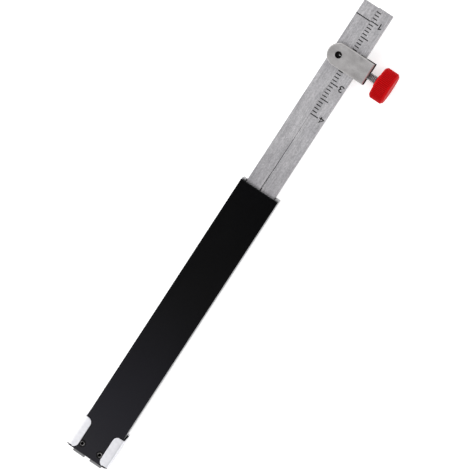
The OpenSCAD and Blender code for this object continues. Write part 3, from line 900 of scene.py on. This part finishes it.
def break_edges(name, body, width):
    """A copy of a solid with a narrow flat on each sharp edge, in the solid's place."""
    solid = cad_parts[name]
    work = bmesh.new()
    work.from_mesh(solid.data)
    bmesh.ops.remove_doubles(work, verts=work.verts, dist=SAME_POINT)
    bmesh.ops.dissolve_limit(work, angle_limit=FLAT, verts=work.verts, edges=work.edges)
    sharp = [e for e in work.edges if len(e.link_faces) == 2 and e.calc_face_angle() > SHARP]
    bmesh.ops.bevel(
        work, geom=sharp, offset=width, segments=1, profile=0.5, affect="EDGES", clamp_overlap=False,
    )
    mesh = bpy.data.meshes.new(name + "_broken")
    work.to_mesh(mesh)
    work.free()
    for polygon in mesh.polygons:
        polygon.use_smooth = True
    mesh.set_sharp_from_angle(angle=CREASE)
    copy = bpy.data.objects.new(name + "_broken", mesh)
    bpy.context.scene.collection.objects.link(copy)
    paint(copy, solid.data.materials[0])
    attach(copy, body)
    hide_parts(name)
    print(name, "edges broken:", len(sharp), "faces:", len(mesh.polygons))


break_edges("front_plate", "sheath", 0.08 * MM)
break_edges("sheath_channel", "sheath", 0.1 * MM)
break_edges("pocket_clip", "sheath", 0.06 * MM)

# %% [markdown]
# ## The floor
# The gauge lies on a white table in a light tent. The floor is pale and takes the shadow, and
# a little light of its own, seen only by the camera and in reflections, brings it to white. More
# light on the whole scene would do that too, but it would bleach the gauge. Floor that is
# covered from above has no such light, so what lies under the blades stays dark.

# %% A sheet for the floor
FLOOR_HALF, FLOOR_Z = 3.0, -0.02 * MM
around = ((-1, -1), (1, -1), (1, 1), (-1, 1))
floor_points = [(x * FLOOR_HALF, y * FLOOR_HALF, FLOOR_Z) for x, y in around]
floor_mesh = bpy.data.meshes.new("floor")
floor_mesh.from_pydata(floor_points, [], [(0, 1, 2, 3)])
floor = bpy.data.objects.new("floor", floor_mesh)
bpy.context.scene.collection.objects.link(floor)
table_white = new_finish("table_white", 0.0, 0.9, specular=0.0)
shader_of(table_white).inputs["Base Color"].default_value = (0.8, 0.8, 0.8, 1)
paint(floor, table_white)
print("floor at z, mm:", FLOOR_Z / MM)

# %% The floor's own light
FLOOR_GLOW, COVER_REACH, COVER_SAMPLES = 0.6, 25 * MM, 8
COVERED, OPEN = 0.1, 0.3


def seen_directly(tree):
    """1 for what the camera sees straight, in gloss or through glass, and 0 for what lights things."""
    path = tree.nodes.new("ShaderNodeLightPath")
    first = maths(tree, "MAXIMUM", path.outputs["Is Camera Ray"], path.outputs["Is Glossy Ray"])
    return maths(tree, "MAXIMUM", first, path.outputs["Is Transmission Ray"])


tree = table_white.node_tree
openness = tree.nodes.new("ShaderNodeAmbientOcclusion")
openness.samples = COVER_SAMPLES
openness.inputs["Distance"].default_value = COVER_REACH
in_the_open = ease(table_white, openness.outputs["AO"], COVERED, OPEN)
glow = all_of(table_white, seen_directly(tree), FLOOR_GLOW, in_the_open)
shader_of(table_white).inputs["Emission Color"].default_value = (1, 1, 1, 1)
tree.links.new(glow, shader_of(table_white).inputs["Emission Strength"])
print("glow of the open floor:", FLOOR_GLOW)

# %% [markdown]
# ## Light
# The tent is an even pale world with an opening for the camera's view, which flat shiny faces
# mirror as a dark patch. One broad soft lamp stands over the sheath's closed end, and another
# shines across. Many lamps could stand in for the tent, but a world has no edges that would
# show in the nickel.

# %% World
WORLD_LIGHT, OPENING_LIGHT = 0.85, 0.02
OPENING_RIGHT, OPENING_AHEAD = math.radians(-5.5), math.radians(14.0)
OPENING_INNER, OPENING_OUTER = math.radians(22.2), math.radians(24.6)
world = bpy.data.worlds.new("light_tent")
bpy.context.scene.world = world
world.use_nodes = True
nodes, links = world.node_tree.nodes, world.node_tree.links
sky = nodes["Background"]
sky.inputs["Color"].default_value = (1, 1, 1, 1)
opening_way = Vector((math.tan(OPENING_RIGHT), math.tan(OPENING_AHEAD), 1)).normalized()
toward = nodes.new("ShaderNodeVectorMath")
toward.operation = "DOT_PRODUCT"
toward.inputs[1].default_value = opening_way
links.new(nodes.new("ShaderNodeTexCoord").outputs["Generated"], toward.inputs[0])
opening = nodes.new("ShaderNodeMapRange")
opening.interpolation_type = "SMOOTHSTEP"
opening.inputs["From Min"].default_value = math.cos(OPENING_OUTER)
opening.inputs["From Max"].default_value = math.cos(OPENING_INNER)
opening.inputs["To Min"].default_value = WORLD_LIGHT
opening.inputs["To Max"].default_value = OPENING_LIGHT
links.new(toward.outputs["Value"], opening.inputs["Value"])
links.new(opening.outputs["Result"], sky.inputs["Strength"])
print("opening of the tent faces:", [round(v, 2) for v in opening_way])

# %% Lamps
def soft_lamp(name, place, aim, size, watts):
    """A square area lamp that faces aim."""
    lamp = bpy.data.lights.new(name, "AREA")
    lamp.shape = "SQUARE"
    lamp.size = size
    lamp.energy = watts
    holder = bpy.data.objects.new(name, lamp)
    bpy.context.scene.collection.objects.link(holder)
    holder.location = place
    holder.rotation_mode = "QUATERNION"
    holder.rotation_quaternion = (Vector(aim) - Vector(place)).to_track_quat("-Z", "Y")
    print(name, "watts:", watts, "size, m:", size)


soft_lamp("lamp_low_end", place=(-0.25, -0.62, 1.15), aim=(0, -0.03, 0), size=0.7, watts=2.2)
soft_lamp("lamp_across", place=(-0.9, 0.5, 0.6), aim=(0, 0, 0), size=1.5, watts=7)

# %% [markdown]
# ## Camera
# The camera stands almost straight above. Its tilts are to the thumb screw's side and to the
# scale end, and then it is turned about its own view, so that the gauge lies across the picture.
# Angles could be set as a rotation, but the three directions of the view are easier to follow.

# %% Camera
TILT_RIGHT, TILT_AHEAD, TURN = map(math.radians, (5.5, 7.0, 33.1))
DISTANCE = 1.2
AIM = Vector((-0.00331, 0.00081, 0.00475))
FOCAL_PX, IMAGE_PX, SENSOR_MM = 4394.0, 470, 36.0
FARTHEST = 20
back = Vector((math.tan(TILT_RIGHT), math.tan(TILT_AHEAD), 1)).normalized()
ahead = (Vector((0, 1, 0)) - back * back.y).normalized()
level = ahead.cross(back)
up = ahead * math.cos(TURN) - level * math.sin(TURN)
right = level * math.cos(TURN) + ahead * math.sin(TURN)
place = AIM + back * DISTANCE
camera_data = bpy.data.cameras.new("camera")
camera_data.sensor_width = SENSOR_MM
camera_data.lens = FOCAL_PX / IMAGE_PX * SENSOR_MM
camera_data.clip_end = FARTHEST
camera = bpy.data.objects.new("camera", camera_data)
bpy.context.scene.collection.objects.link(camera)
camera.matrix_world = Matrix((
    (right.x, up.x, back.x, place.x), (right.y, up.y, back.y, place.y),
    (right.z, up.z, back.z, place.z), (0, 0, 0, 1),
))
bpy.context.scene.camera = camera
bpy.context.scene.view_settings.view_transform = "Standard"
print("camera lens, mm:", round(camera_data.lens, 1))
